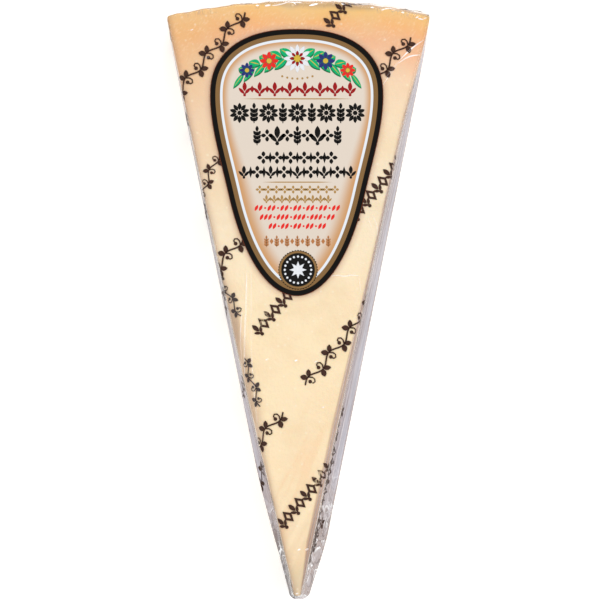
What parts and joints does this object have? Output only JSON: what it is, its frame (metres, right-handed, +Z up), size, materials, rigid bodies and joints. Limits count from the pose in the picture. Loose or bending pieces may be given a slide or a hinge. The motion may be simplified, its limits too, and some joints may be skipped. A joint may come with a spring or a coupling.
{
  "type": "wrapped parmesan wedge",
  "caption": "Wedge of hard aged grating cheese with its rind, sealed in tight clear shrink film, with an egg-shaped paper label on its front face. It lies flat on its back.",
  "frame": {"origin": "on the surface that the pack lies on, under the middle of its box", "axes": "+Z up out of the labelled face, +Y from the tip to the rind, +X to the right as the label is seen"},
  "size_m": [0.0786, 0.1794, 0.0285],
  "materials": {
    "wrapped_cheese": "pale straw cheese, golden towards the rind, under tight clear glossy film",
    "label_paper": "printed coated paper: black and bronze borders round a cream field"
  },
  "bodies": {
    "root": {"wrapped_wedge": "wrapped_cheese", "front_label": "label_paper"}
  },
  "joints": []
}
